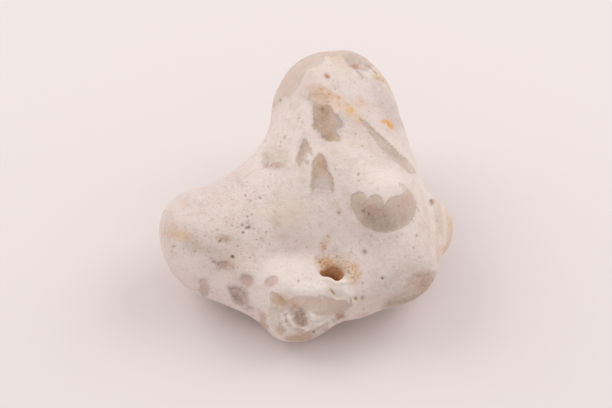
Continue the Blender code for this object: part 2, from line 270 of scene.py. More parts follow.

# Soft stains, with some painted light and painted shade among them, in the order they are laid: colour, how
# strong, how soft its edge is in pixels, mark.
STAINS_AND_PAINTED_LIGHT = (
    (VIOLET_ASH, 0.3, 8, Patch(((372, 80), (386, 82), (396, 102), (402, 126), (392, 128), (378, 104)))),
    (MOSS, 0.28, 6, Patch(((264, 149), (288, 148), (289, 168), (264, 169)))),
    (CLAY, 0.4, 2.5, Spot(275, 165.5, 5, 2.4)),
    (UMBER, 0.3, 2, Spot(283, 165.5, 1.4, 1.4)),
    (UMBER, 0.3, 2, Spot(266, 165.5, 1.4, 1.4)),
    (VIOLET_ASH, 0.5, 4, Patch(((334, 110), (344, 120), (343, 130), (336, 136), (334, 124)))),
    (WALNUT, 0.3, 4, Patch(((313, 100), (326, 102), (330, 112), (326, 128), (334, 140), (324, 141),
        (314, 128)))),
    (CLAY, 0.2, 4, Spot(321, 160, 3, 5)),
    (WALNUT, 0.25, 4, Streak(((325, 158), (326, 168)), 1.4, 2)),
    (MOSS, 0.4, 4, Streak(((316, 163), (315, 176)), 3, 3)),
    (SMOKE, 0.3, 4, Spot(303, 150, 5, 12)),
    (CHALK_AND_PAINTED_LIGHT, 0.5, 3, Spot(308, 156, 3, 3)),
    (LILAC, 0.85, 5, Patch(((318, 181), (327, 179), (329, 184), (329, 194), (316, 194), (315, 186)))),
    (CLAY, 0.2, 2.5, Streak(((326.6, 165), (328.5, 172), (332, 179), (332.4, 193)), 0.9, 0.7)),
    (CLAY, 0.25, 4, Spot(322, 163, 3, 6)),
    (SMOKE, 0.45, 2.6, Spot(364.8, 252, 2.6, 2, 20)),
    # Painted shade right under the button's lower rim.
    (VIOLET_ASH, 0.22, 6, Streak(((366, 234), (384, 239), (402, 235)), 2, 2)),
    # A greyish-violet tint below the button, partly painted shade.
    (VIOLET_ASH, 0.22, 14, Patch(((352, 232), (372, 238), (400, 234), (432, 262), (432, 284), (404, 300),
        (372, 304), (364, 262)))),
    (SALLOW, 0.9, 5, Streak(((352, 206), (354, 198), (360, 195), (364, 198)), 2.4, 2)),
    (SALLOW, 0.5, 4, Streak(((368, 202), (372, 197.5), (378, 196.5), (382.5, 201)), 1.4, 1.4)),
    (SALLOW, 0.5, 4, Streak(((386, 205), (390, 199.5), (400, 197.5), (408, 192)), 1.4, 1.4)),
    (SALLOW, 0.3, 4, Streak(((353, 208), (358, 218), (366, 226)), 1.2, 0.8)),
    (SALLOW, 0.4, 5, Streak(((411, 193), (415, 206), (410, 220)), 2, 1.4)),
    (WALNUT, 0.22, 8, Patch(((358, 206), (376, 208), (398, 212), (404, 222), (386, 231), (366, 223)))),
    (RUST_BROWN, 0.2, 7, Patch(((359, 202), (370, 204), (382, 206), (386, 214), (372, 220), (361, 214)))),
    (CLAY, 0.2, 6, Spot(404, 206, 6, 8)),
    (UMBER, 0.5, 1.8, Spot(363.4, 211.8, 1.4, 1.4)),
    (UMBER, 0.4, 1.8, Spot(369.6, 214.2, 1.4, 1.2)),
    (UMBER, 0.4, 1.6, Spot(399, 206.3, 0.8, 0.8)),
    (RUST_ORANGE, 0.3, 2.5, Spot(371, 206, 2, 1)),
    (WALNUT, 0.15, 3, Streak(((392, 152), (404, 163), (410, 171)), 2, 1)),
    (TAN, 0.3, 9, Patch(((406, 268), (432, 266), (438, 284), (420, 300), (384, 311), (388, 299),
        (408, 290)))),
    (MOSS, 0.35, 6, Patch(((384, 300), (408, 298), (426, 294), (414, 306), (384, 312)))),
    (CLAY, 0.35, 8, Spot(423, 284, 9, 7, -45)),
    (WALNUT, 0.25, 4, Spot(426, 284, 7, 4, -50)),
    (WALNUT, 0.3, 2.5, Streak(((415, 275.5), (428, 275)), 1, 1)),
    (UMBER, 0.3, 3, Streak(((390, 304), (408, 300), (422, 293)), 1.4, 1.4)),
    (CLAY, 0.22, 8, Spot(168, 231, 7, 11)),
    (VIOLET_ASH, 0.26, 12, Patch(((176, 200), (200, 184), (238, 170), (250, 182), (226, 196), (196, 212)))),
    (APRICOT, 0.12, 5, Spot(169, 229, 7, 7)),
    (STRAW, 0.28, 5, Spot(182, 235.5, 9, 4.5, 10)),
    (APRICOT, 0.22, 4, Spot(181, 235.5, 8, 3.8, 10)),
    (HONEY, 0.25, 4, Spot(183.5, 235.5, 7, 3.6, 8)),
    # Painted light on the lower slope of the left lobe.
    (CHALK_AND_PAINTED_LIGHT, 0.55, 9, Patch(((178, 256), (204, 262), (222, 274), (238, 290), (226, 292), (204, 284),
        (184, 270)))),
    (TAN, 0.3, 6, Streak(((190, 238), (196, 246)), 3, 2)),
    # Painted shade: a soft, greenish dark band across the left lobe.
    (MOSS, 0.22, 7, Streak(((188, 243), (212, 250), (230, 262)), 3, 5)),
    (APRICOT, 0.3, 4, Spot(185, 204, 3, 2)),
    (MOSS, 0.3, 3, Spot(227, 238, 4, 3)),
    (PALE_STRAW, 0.45, 10, Spot(286, 213, 20, 12)),
    (MOSS, 0.3, 5, Spot(277, 222, 3.5, 6)),
    (TAN, 0.5, 2.5, Patch(((338.5, 206), (343.5, 215), (336, 216)))),
    (CHALK_AND_PAINTED_LIGHT, 0.6, 2, Spot(290.5, 244, 3.6, 2.4)),
    (APRICOT, 0.5, 3, Spot(328.5, 237, 2.6, 4.5)),
    (APRICOT, 0.6, 3, Spot(323.6, 245.5, 2.6, 5)),
    (RUST_BROWN, 0.7, 1.8, Spot(323.8, 247.5, 1.3, 2.2)),
    (CLAY, 0.4, 2.5, Spot(319.6, 225, 1.4, 2)),
    (SMOKE, 0.3, 4, Spot(336, 248.5, 3, 2.6)),
    (CHALK_AND_PAINTED_LIGHT, 0.4, 10, Patch(((300, 236), (318, 224), (350, 222), (354, 244), (340, 244), (312, 256)))),
    (CHALK_AND_PAINTED_LIGHT, 0.25, 8, Spot(360, 92, 12, 8, 40)),
    (APRICOT, 0.3, 8, Spot(318, 97, 13, 8, 30)),
    (WALNUT, 0.06, 5, Spot(314, 96, 6, 6, 30)),
    (PEACH, 0.3, 7, Streak(((318, 91), (330, 97), (344, 106), (352, 113), (362, 121)), 6, 2.4)),
    (PEACH, 0.4, 6, Spot(361, 104, 5, 4, 30)),
    (PEACH, 0.4, 4, Spot(388, 123, 5, 3, 30)),
    (TAN, 0.3, 5, Spot(312, 97, 9, 5, 30)),
    (STRAW, 0.35, 5, Streak(((374, 76), (380, 78), (386, 82)), 2, 2)),
    (OCHRE, 0.5, 2, Spot(377, 77.6, 3, 1.6, 10)),
    (OCHRE, 0.5, 2, Spot(382.6, 80, 2, 1.2, 30)),
    (HONEY, 0.7, 2, Spot(378.6, 73.6, 1.5, 1.5)),
    (HONEY, 0.5, 3, Spot(388, 89, 2, 1.6)),
    (SMOKE, 0.2, 5, Spot(353, 61, 9, 5, 15)),
    (CHALK_AND_PAINTED_LIGHT, 0.5, 2, Spot(360, 66.5, 3, 1.6)),
    (CLAY, 0.9, 2, Spot(355.6, 66.2, 3.8, 2.2, 4)),
    (CLAY, 0.9, 1.8, Spot(327, 76.3, 2.8, 1.6, 50)),
    (PEACH, 0.3, 4, Spot(337, 62.5, 3, 2)),
    (TAN, 0.25, 3, Spot(336, 58, 6, 4)),
    (PEACH, 0.12, 6, Spot(291, 76, 5, 8, 40)),
    (STRAW, 0.18, 4, Streak(((302, 62), (310, 57.5), (320, 54.5), (332, 56), (342, 58)), 3, 3.4)),
    (SMOKE, 0.7, 1.4, Streak(((357.4, 70.4), (363, 77.8)), 0.6, 0.3)),
    (SMOKE, 0.6, 1.4, Streak(((366.5, 64), (371, 68), (377, 74)), 0.8, 0.5)),
    (SMOKE, 0.4, 1.4, Streak(((360, 69), (368, 71)), 0.5, 0.3)),
    (SMOKE, 0.3, 1.6, Streak(((331, 84), (337, 88), (343, 94)), 0.5, 0.5)),
    (SMOKE, 0.3, 1.6, Streak(((334, 80), (339, 83)), 0.5, 0.5)),
    (HONEY, 0.14, 6, Streak(((322, 91), (333, 96), (343, 104), (351, 111), (358, 121)), 2.6, 2)),
    (HONEY, 0.7, 3, Spot(350.4, 110.6, 4, 4)),
    (AMBER, 0.4, 2.5, Spot(350.4, 109.5, 2, 2.2)),
    (AMBER, 0.6, 2, Spot(337.5, 97, 2.2, 1)),
    (HONEY, 0.5, 2.5, Spot(357.5, 119, 2.4, 3)),
    (APRICOT, 0.5, 3, Spot(320.5, 90, 3, 2.4)),
    (APRICOT, 0.5, 3, Spot(329, 94.5, 3, 3)),
    (PEACH, 0.35, 5, Spot(340, 106, 5, 4, 30)),
    (CLAY, 0.12, 10, Spot(288, 78, 10, 14, 40)),
    (LILAC, 0.2, 12, Spot(290, 84, 14, 24, 40)),
    (PEACH, 0.08, 12, Spot(288, 82, 12, 18, 40)),
    (AMBER, 1, 1.8, Spot(390, 124.5, 2, 3.6, -32)),
    (AMBER, 0.85, 1.8, Spot(383.6, 121.5, 2, 1.4)),
    (SALLOW, 0.2, 5, Patch(((304, 88), (320, 86), (330, 98), (320, 104), (306, 104)))),
    (SMOKE, 0.3, 2, Streak(((313, 101), (320, 106)), 0.7, 0.7)),
    (CREAM, 0.5, 1.6, Streak(((362, 119), (380, 131), (398, 147), (412, 163)), 0.7, 0.7)),
    (ASH, 0.2, 5, Patch(((326, 248), (336, 248), (346, 258), (340, 264), (328, 262)))),
    (TAN, 0.42, 5, Patch(((315, 254), (335, 252), (352, 254), (360, 266), (360, 280), (350, 284), (344, 272),
        (334, 265), (322, 270), (315, 266)))),
    (TAN, 0.3, 4, Streak(((324, 240), (323, 252)), 2.5, 3)),
    (TAN, 0.5, 4, Streak(((329, 259), (336, 259.5), (345, 264)), 2.4, 2.4)),
    (RUST_BROWN, 0.15, 3, Spot(331.5, 260, 3, 3)),
    (PEACH, 0.3, 4, Patch(((316, 257), (326, 256), (330, 262), (322, 269), (316, 267)))),
    (PEACH, 0.4, 3, Streak(((352, 264), (358, 273), (353, 282)), 2, 2)),
    (APRICOT, 0.25, 5, Patch(((344, 260), (352, 261), (360, 270), (359, 282), (350, 284), (345, 276)))),
    (RUST_BROWN, 0.14, 4, Patch(((316, 256), (325, 257), (332, 263), (322, 270), (316, 266)))),
    (CREAM, 0.6, 1.6, Streak(((332, 256), (333.5, 262)), 1, 0.6)),
    (CREAM, 0.6, 2, Spot(347.5, 280.5, 3.6, 1.6)),
    (CREAM, 0.5, 2, Spot(347, 274.5, 1.6, 2)),
    (RUST_BROWN, 0.4, 3, Streak(((322, 270), (330, 265), (340, 265.5), (345, 272)), 1, 1)),
    # Painted light on the shelf's up-facing top.
    (CHALK_AND_PAINTED_LIGHT, 0.6, 10, Patch(((262, 262), (300, 256), (318, 268), (324, 280), (322, 294), (296, 294),
        (284, 288), (280, 276)))),
    # Painted light on the lit slopes right of and above the button.
    (CHALK_AND_PAINTED_LIGHT, 0.5, 9, Patch(((404, 128), (414, 160), (440, 200), (430, 214), (420, 184)))),
    (CHALK_AND_PAINTED_LIGHT, 0.4, 6, Patch(((352, 170), (398, 166), (412, 184), (402, 194), (352, 190)))),
    # Painted light on the ledge's top, lit from above.
    (PAINTED_LIGHT_ON_LEDGE, 0.9, 5, Patch(((294, 283), (322, 283), (350, 286), (354, 296), (325, 294), (296, 295)))),
    (CREAM, 0.7, 2.5, Streak(((324, 280.6), (334, 283.8), (345, 282.5)), 1.6, 1.6)),
    (MOSS, 0.3, 3, Spot(335, 292, 9, 4.5, 12)),
    (CREAM, 0.9, 1.6, Streak(((340, 287.5), (330, 286.8), (326.5, 288.6), (329, 293)), 0.8, 0.8)),
    (RUST_BROWN, 0.8, 1.4, Streak(((330, 289.6), (333.8, 293.4)), 0.6, 0.9)),
    (CREAM, 0.9, 1.8, Streak(((328, 289), (331, 295.5), (337, 299.4), (345, 298.5)), 0.9, 0.9)),
    (RUST_BROWN, 0.7, 1.8, Spot(355.6, 298.4, 2, 2)),
    (SMOKE, 0.5, 2.2, Spot(362.3, 298, 2, 2.2)),
    (UMBER, 0.5, 1.4, Streak(((350.8, 297.5), (351.2, 306)), 0.4, 0.4)),
    (CREAM, 0.9, 1.6, Streak(((352.6, 296), (353.4, 301), (357, 302.8), (359, 299)), 0.8, 0.8)),
    (OCHRE, 0.4, 4, Patch(((272, 294), (280, 295), (287, 300), (286, 309), (276, 308)))),
    (OCHRE, 0.3, 4, Patch(((286, 301), (296, 300), (298, 306), (290, 310)))),
    (BISQUE, 0.5, 5, Patch(((284, 298), (300, 297), (328, 299), (342, 305), (326, 313), (298, 309)))),
    (MOSS, 0.15, 4, Spot(336, 308, 8, 4)),
    (CREAM, 0.42, 5, Patch(((269, 300), (280, 306), (280, 320), (276, 332), (270, 322)))),
    (WALNUT, 0.4, 4, Patch(((293, 304), (300, 308), (306, 311), (307, 325), (297, 326), (294, 314)))),
    (CLAY, 0.25, 3, Spot(303, 320, 3, 4)),
    (OCHRE, 0.5, 3, Spot(280, 331, 3, 3)),
    # Darkens the underside to the right of the prow.
    (TAN, 0.35, 6, Patch(((316, 323), (330, 318), (350, 314), (342, 322), (326, 332), (314, 341)))),
    (SMOKE, 0.25, 2, Streak(((314, 331), (326, 323), (342, 317)), 0.7, 0.7)),
    (SMOKE, 0.25, 2, Streak(((316, 337), (328, 328)), 0.7, 0.7)),
    (SMOKE, 0.15, 6, Spot(322, 330, 9, 4, -35)),
    (OCHRE, 0.3, 4, Spot(300, 339, 9, 3)),
    (RUST_BROWN, 0.45, 2.5, Spot(340, 316.8, 3, 2)),
    (TAN, 0.5, 5, Patch(((286, 334), (310, 332), (314, 340), (300, 344), (286, 342)))),
    # Painted shade along the upper edges of this keel dent, with a dark rim along its lower edge.
    (WALNUT, 0.3, 4, Streak(((229, 287), (238, 288), (245, 293)), 2, 2)),
    (SMOKE, 0.3, 4, Streak(((238, 287), (246, 293), (247, 301)), 1.6, 1.6)),
    (UMBER, 0.4, 4, Streak(((231, 289), (235, 298), (242, 304)), 1.6, 1.6)),
    (CLAY, 0.3, 3, Spot(239, 297, 3.6, 2.6, 40)),
    (UMBER, 0.25, 5, Spot(237, 296, 6, 4, 40)),
    (CLAY, 0.3, 3, Spot(247.5, 282, 4, 4)),
    # Painted shade along the top edge of the keel_a dent.
    (SMOKE, 0.3, 4, Streak(((242, 276), (248, 275.5), (253, 277)), 1, 1)),
    # Painted shade along the top edge of the keel_c dent.
    (SMOKE, 0.3, 3, Streak(((201, 280), (207, 280)), 1.4, 1.4)),
    (CLAY, 0.35, 3, Spot(204.5, 290, 3.6, 5)),
    (SMOKE, 0.55, 3.5, Spot(248.8, 307.5, 4.4, 2.6, 15)),
    (CLAY, 0.3, 3, Spot(222.5, 265.5, 4, 4)),
    (SMOKE, 0.35, 3, Spot(215, 261.5, 3, 1.8, 30)),
    (CLAY, 0.42, 2, Spot(271, 281.6, 6.6, 4.6, -28)),
    (UMBER, 0.25, 4, Spot(302, 318, 4, 6)),
    (MOSS, 0.35, 3, Spot(283, 331, 2.6, 3)),
    (UMBER, 0.1, 4, Spot(304, 338, 8, 3)),
    (MOSS, 0.25, 3, Spot(291, 311, 3, 2.4)),
    (CLAY, 0.4, 3, Spot(340, 314.6, 3, 3)),
    (ASH, 0.5, 2, Patch(((307, 312), (313, 316), (320, 317), (326, 316), (322, 325), (314, 327)))),
    (CHALK_AND_PAINTED_LIGHT, 0.5, 1.4, Streak(((281, 313.5), (285, 311), (289.5, 312.5)), 1.3, 1)),
    (CHALK_AND_PAINTED_LIGHT, 0.7, 1.4, Streak(((283, 317), (282.5, 322), (286.5, 327)), 1.2, 1.4)),
    (CHALK_AND_PAINTED_LIGHT, 0.6, 1.4, Streak(((289, 315), (290, 319.5), (287.5, 323)), 1, 0.8)),
    (CHALK_AND_PAINTED_LIGHT, 0.6, 2.5, Patch(((308.5, 312), (318, 316.5), (327, 317), (322, 325), (312, 326)))),
    (UMBER, 0.3, 1.4, Streak(((285.6, 314), (286, 320), (290, 326)), 0.5, 0.5)),
    (CHALK_AND_PAINTED_LIGHT, 0.5, 2, Streak(((312, 326), (322, 322), (334, 316)), 1.4, 1)),
    (CREAM, 0.6, 2, Streak(((270, 296), (270, 312), (274, 328), (283, 339)), 1.2, 1)),
    (CREAM, 0.5, 1.5, Streak(((285, 323), (291, 331), (301, 335)), 0.7, 0.7)),
    (CREAM, 0.5, 1.5, Streak(((308, 330), (318, 326), (330, 320)), 0.8, 0.8)),
    (UMBER, 0.4, 1.5, Streak(((287, 320), (294, 329), (304, 330)), 0.5, 0.5)),
    (CLAY, 0.25, 3, Spot(263, 317, 2.5, 4, -20)),
    (OCHRE, 0.45, 3, Spot(262.5, 327.5, 3, 4.6, -25)),
    (CHALK_AND_PAINTED_LIGHT, 0.8, 1.8, Streak(((268, 322), (273, 331), (279, 338), (286, 342.5)), 1, 1.2)),
    (STRAW, 0.55, 4, Streak(((450, 218), (453, 234), (449, 249)), 2.4, 2.6)),
    (PEACH, 0.5, 4, Spot(443, 250, 3, 5, 20)),
    (TAN, 0.3, 4, Streak(((437, 200), (444, 212), (444, 236)), 2, 2)),
    (RUST_BROWN, 0.6, 2, Spot(431.8, 202, 2.2, 2.6, 30)),
    (TAN, 0.4, 3, Streak(((437, 200), (440, 214), (440, 232)), 1.2, 1)),
    (PEACH, 0.2, 2.5, Streak(((446, 212), (449.5, 226), (448, 242)), 0.9, 0.9)),
    (CREAM, 0.5, 2.5, Streak(((443, 208), (445.5, 224), (444, 244)), 0.9, 0.9)),
    (CLAY, 0.25, 2.5, Streak(((434, 202), (437.5, 230), (439, 263)), 0.6, 0.6)),
    (TAN, 0.25, 3, Streak(((421, 190), (427, 214), (430, 244)), 0.8, 0.8)),
    (CREAM, 0.35, 3, Streak(((424, 186), (432, 210), (434, 240)), 0.8, 0.8)),
    (OCHRE, 0.45, 3, Spot(222.5, 239.5, 4, 3, -20)),
    (MOSS, 0.4, 3, Spot(226, 240, 3, 2)),
    (CLAY, 0.35, 4, Spot(229, 266, 4, 3)),
    (CLAY, 0.4, 3, Spot(364, 315.5, 4, 1.4)),
)

# Rust in grains, laid over the stains: how strong, how soft its edge is in pixels, mark.
RUST = (
    (0.24, 6, Streak(((318, 91), (332, 98), (350, 111), (360, 120)), 5, 2)),
    (0.6, 2.5, Spot(326.5, 101, 2.6, 1.6, 20)),
    (0.5, 2.5, Spot(346, 101, 2.4, 1.4, 30)),
    (0.75, 2, Spot(320.5, 89.8, 2.4, 1.8, 20)),
    (0.75, 2, Spot(328, 94.5, 2.6, 2.6)),
    (0.6, 2, Spot(337.5, 97.3, 2.6, 1.2)),
    (0.4, 3, Spot(338.5, 104.5, 3, 2.4)),
    (0.45, 2.5, Spot(350.6, 110.4, 3.6, 2.6, 40)),
    (0.5, 3, Spot(360.5, 102, 3, 2, 30)),
    (0.5, 2.5, Spot(357.5, 120.5, 2.4, 2)),
    (0.3, 2, Spot(383.5, 121.6, 2, 1.4, 20)),
    (0.3, 2, Spot(390, 124, 3.2, 2, 45)),
    (0.5, 2, Streak(((374, 75), (379, 78), (384, 82)), 1.4, 1.2)),
    (0.5, 3, Patch(((315, 254), (322, 257), (326, 265), (321, 270), (316, 266)))),
    (0.3, 5, Patch(((322, 254), (346, 254), (352, 262), (334, 264), (324, 260)))),
    (0.4, 4, Patch(((344, 263), (353, 263), (359, 270), (359, 279), (351, 283), (345, 276)))),
    (0.9, 1.5, Spot(355.4, 274.4, 2, 2.2)),
    (0.9, 1.5, Spot(319, 262, 1.8, 1.8)),
    (0.25, 3, Streak(((322, 238), (324.5, 247), (321, 256)), 1.6, 2)),
    (0.8, 2, Spot(323, 247.5, 2, 3)),
    (0.7, 2.5, Spot(329, 238.5, 2, 2.6)),
    (0.36, 4, Spot(280, 301, 6, 5)),
    (0.45, 3, Streak(((287, 301), (293, 305), (298, 309)), 3, 2)),
    (0.25, 4, Spot(299, 338.5, 10, 3)),
    (0.2, 3, Spot(264, 328, 2.5, 5, -20)),
    (0.25, 2.5, Spot(340, 314.8, 3.4, 2.4)),
    (0.35, 3, Spot(442, 251.5, 2, 3)),
    (0.2, 3, Streak(((452, 224), (454, 236), (451, 250)), 1.5, 2)),
    (0.6, 2, Spot(358, 174, 1.6, 1.4)),
    (1, 1.5, Streak(((256.5, 239.4), (261.8, 239)), 0.7, 0.7)),
    (1, 1.5, Spot(245.8, 196, 2.2, 1.5)),
    (0.4, 1.5, Streak(((352, 65.6), (359, 66.6)), 1.4, 1.4)),
    (0.7, 1.5, Spot(327, 76, 1.8, 1.4, 30)),
)

# Low relief in the order it is cut: height in millimetres, how soft its edge is in pixels, mark.
RELIEF = (
    (-0.25, 4, Streak(((424, 193), (431, 208), (436, 234), (437.5, 264)), 1, 1.4)),
    (0.4, 2.5, Streak(((324, 280.8), (334, 284), (345, 282.4)), 1.4, 1.4)),
    (-0.15, 1.6, Streak(((330, 289.6), (333.8, 293.4)), 0.8, 1)),
    (0.2, 1.5, Streak(((328, 289), (331, 295.5), (337, 299.4), (345, 298.5)), 0.8, 0.8)),
    (0.22, 1.5, Streak(((352.6, 296), (353.4, 301), (357, 302.8), (359, 299)), 0.8, 0.8)),
    (-0.12, 3, Streak(((322, 88), (338, 98), (352, 112), (360, 120)), 0.8, 0.8)),
    (0.1, 1.5, Streak(((318, 84), (336, 93), (354, 107), (366, 119)), 0.8, 0.8)),
    (-0.2, 1.5, Streak(((353, 70), (363.5, 77)), 0.5, 0.4)),
    (-0.2, 1.5, Streak(((357, 70), (366, 72.5)), 0.5, 0.4)),
    (-0.2, 4, Spot(221, 240, 5, 4)),
    (-0.2, 5, Spot(246, 228, 6, 5)),
    (0.45, 1.6, Patch(((307, 312), (313, 316), (320, 317), (326, 316), (322, 325), (314, 327)))),
    (-0.3, 2, Patch(((294, 311), (306, 312), (306, 326), (299, 328), (293, 325)))),
    (0.3, 2, Streak(((270, 292), (270, 311), (274, 327), (283, 338)), 1.3, 1.2)),
    (0.25, 1.6, Patch(((281, 312), (289, 312), (291, 320), (284, 322)))),
    (-0.2, 1.5, Streak(((279, 322), (284, 333)), 0.7, 0.6)),
    (-0.2, 1.5, Streak(((286, 322), (292, 331), (303, 334)), 0.6, 0.6)),
    (-0.2, 1.5, Streak(((308, 332), (318, 328), (332, 320)), 0.6, 0.6)),
    (-0.18, 1.5, Streak(((326, 318), (338, 322), (350, 314)), 0.6, 0.6)),
    (-0.3, 1.2, Streak(((311, 334), (318, 329)), 0.9, 0.5)),
    (-0.22, 1.2, Streak(((316, 322), (330, 319), (342, 321)), 0.6, 0.4)),
    (0.2, 1.2, Streak(((283, 311), (281.5, 318), (285, 325), (291, 322), (292, 315)), 0.7, 0.5)),
    (-0.2, 1.2, Streak(((285.5, 315), (287, 321), (290, 316)), 0.6, 0.5)),
    (0.2, 1.2, Streak(((262, 314), (266, 325), (274, 336)), 0.6, 0.6)),
)
# Where the prow has split and crumbled.
CRUMBLED = Patch((
    (266, 288), (290, 296), (330, 294), (352, 300), (352, 314), (330, 330), (308, 346), (280, 344),
    (262, 322),
))
# Where chalk and flint show through each other in small crumbs.
MOTTLED = Patch((
    (268, 298), (278, 306), (290, 310), (304, 312), (326, 318), (352, 314), (336, 328), (318, 332),
    (286, 332), (266, 324),
))

# Where pores crowd the skin: how many of the cells hold one, how soft the edge is in pixels, mark.
PORED = (
    (0.7, 20, Patch(((170, 226), (200, 196), (240, 184), (270, 170), (286, 190), (280, 244), (250, 276),
        (200, 268)))),
    (0.4, 16, Patch(((296, 228), (330, 222), (372, 244), (384, 268), (362, 296), (340, 262), (306, 262)))),
    (0.3, 12, Patch(((340, 160), (380, 158), (398, 176), (372, 190), (346, 186)))),
    (0.35, 14, Patch(((378, 262), (430, 256), (436, 284), (404, 302), (380, 296)))),
)
PORES_ELSEWHERE = 0.14

# Stains on the far sides: colour, how strong, and x, y, z and radius in millimetres.
FAR_STAINS = (
    (VIOLET_ASH, 0.4, (-2, 30, 40, 8)), (TAN, 0.4, (10, 34, 24, 8)), (MOSS, 0.3, (-10, 24, 22, 7)),
    (STRAW, 0.4, (-22, 8, 18, 6)), (CLAY, 0.35, (-32, 2, 10, 6)), (TAN, 0.4, (-34, -14, 10, 7)),
    (APRICOT, 0.4, (28, 6, 18, 6)), (VIOLET_ASH, 0.35, (24, 14, 12, 8)), (MOSS, 0.35, (4, 30, 10, 7)),
    (WALNUT, 0.3, (-10, 30, 30, 4)), (WALNUT, 0.3, (4, 37, 34, 4)), (CLAY, 0.3, (22, 22, 20, 4)),
    (ASH, 0.4, (0, 10, 2, 14)), (STRAW, 0.4, (18, 30, 32, 5)), (TAN, 0.35, (-20, -22, 8, 7)),
)
# Rust on the far sides: x, y, z and radius in millimetres, and how strong.
FAR_RUST = (
    (16, 30, 40, 5, 0.7), (-20, 12, 20, 5, 0.6), (34, -2, 8, 5, 0.6), (0, 36, 16, 5, 0.6),
    (-34, -14, 6, 5, 0.5), (22, 24, 12, 4, 0.6), (-6, 34, 38, 3, 0.7), (-36, -4, 12, 3, 0.7),
    (28, 4, 22, 3, 0.6), (12, 34, 30, 2, 0.9),
)

PIT_SEED = 7
PIT_COUNT = 150


def smooth_step(low, high, values):
    share = np.clip((values - low) / (high - low), 0, 1)
    return share * share * (3 - 2 * share)


def ripple(points, size, layers=1, shift=0):
    """Smooth noise, mostly from -1 to 1, with lumps of about that size."""
    offset = Vector((shift, shift * 2.3, shift * 4.1))
    return np.array([noise.fractal(Vector(p) + offset, 1, 2, layers) for p in points / size])


CORNER_CUT = 0.22


def rounded(outline, rounds=2):
    """The outline with its corners cut twice over."""
    corners = np.array(outline, float)
    for _ in range(rounds):
        ahead = np.roll(corners, -1, axis=0)
        first = corners * (1 - CORNER_CUT) + ahead * CORNER_CUT
        second = corners * CORNER_CUT + ahead * (1 - CORNER_CUT)
        corners = np.stack([first, second], axis=1).reshape(-1, 2)
    return corners


def along_line(x, y, start, end):
    """Distance to a straight line between two places, and how far along it that is, from 0 to 1."""
    step = np.subtract(end, start)
    share = np.clip(((x - start[0]) * step[0] + (y - start[1]) * step[1]) / (step @ step), 0, 1)
    return np.hypot(x - start[0] - share * step[0], y - start[1] - share * step[1]), share


def depth_inside(mark, x, y):
    """How far inside a mark each place is, in pixels, and negative outside it."""
    if isinstance(mark, Spot):
        turn = math.radians(mark.turn)
        across = (x - mark.x) * math.cos(turn) + (y - mark.y) * math.sin(turn)
        down = (y - mark.y) * math.cos(turn) - (x - mark.x) * math.sin(turn)
        return (1 - np.hypot(across / mark.wide, down / mark.high)) * min(mark.wide, mark.high)
    if isinstance(mark, Streak):
        spans = list(zip(mark.line, mark.line[1:]))
        depth = np.full(len(x), -1e3)
        for number, (start, end) in enumerate(spans):
            distance, share = along_line(x, y, start, end)
            width = mark.start + (mark.end - mark.start) * (number + share) / len(spans)
            depth = np.maximum(depth, width - distance)
        return depth
    corners = rounded(mark.outline)
    distance = np.full(len(x), 1e3)
    inside = np.zeros(len(x), bool)
    for start, end in zip(corners, np.roll(corners, -1, axis=0)):
        distance = np.minimum(distance, along_line(x, y, start, end)[0])
        crosses = (start[1] > y) != (end[1] > y)
        rise = end[1] - start[1] or 1e-9
        inside ^= crosses & (x < start[0] + (y - start[1]) * (end[0] - start[0]) / rise)
    return np.where(inside, distance, -distance)


class Sight:
    """What the studio camera sees of a surface."""

    towards = np.array((0, -math.cos(CAMERA_ELEVATION), math.sin(CAMERA_ELEVATION)))
    up = np.array((0, math.sin(CAMERA_ELEVATION), math.cos(CAMERA_ELEVATION)))
    place = CAMERA_AIM + towards * CAMERA_DISTANCE

    def __init__(self, points, normals, tree):
        ray = points - self.place
        scale = FRAME_WIDTH * LENS / SENSOR / -(ray @ self.towards)
        self.x = FRAME_WIDTH / 2 + ray[:, 0] * scale
        self.y = FRAME_HEIGHT / 2 - ray @ self.up * scale
        ray /= np.linalg.norm(ray, axis=1)[:, None]
        facing = -(normals * ray).sum(axis=1)
        self.seen = smooth_step(0.02, 0.2, facing)
        clearance = 0.4 * MM
        for number in np.nonzero(self.seen)[0]:
            start = Vector(points[number] + normals[number] * clearance)
            if tree.ray_cast(start, Vector(-ray[number]), CAMERA_DISTANCE)[0]:
                self.seen[number] = 0

    def depth(self, mark):
        """Millimetres inside a mark, which fades where the camera doesn't see the surface."""
        return depth_inside(mark, self.x, self.y) * PIXEL - (1 - self.seen) * 3


def ball_depth(points, ball):
    return ball[3] - np.linalg.norm(points / MM - np.array(ball[:3]), axis=1)


def flint_windows(points, sight):
    """Signed millimetres inside the bare flint on all sides, with what the nearest window says of it."""
    wobble = 3 * ripple(points, 7 * MM, 4, 3)
    depth = np.full(len(points), -5.0)
    for ball in FAR_WINDOWS:
        depth = np.maximum(depth, ball_depth(points, ball) + wobble)
    depth -= sight.seen * 6
    fields = {
        "showing": 0.7 + 0.3 * ripple(points, 8 * MM, 2, 5),
        "sunk": np.full(len(points), FAR_WINDOW_DEPTH),
        "soft": FAR_WINDOW_SOFTNESS * (1 + 0.8 * ripple(points, 9 * MM, 1, 4)),
    }
    for window in WINDOWS.values():
        here = sight.depth(window.mark)
        nearer = here > depth
        depth = np.maximum(depth, here)
        for name in fields:
            fields[name][nearer] = getattr(window, name)
    return np.clip(depth, -2.5, 2.5), fields


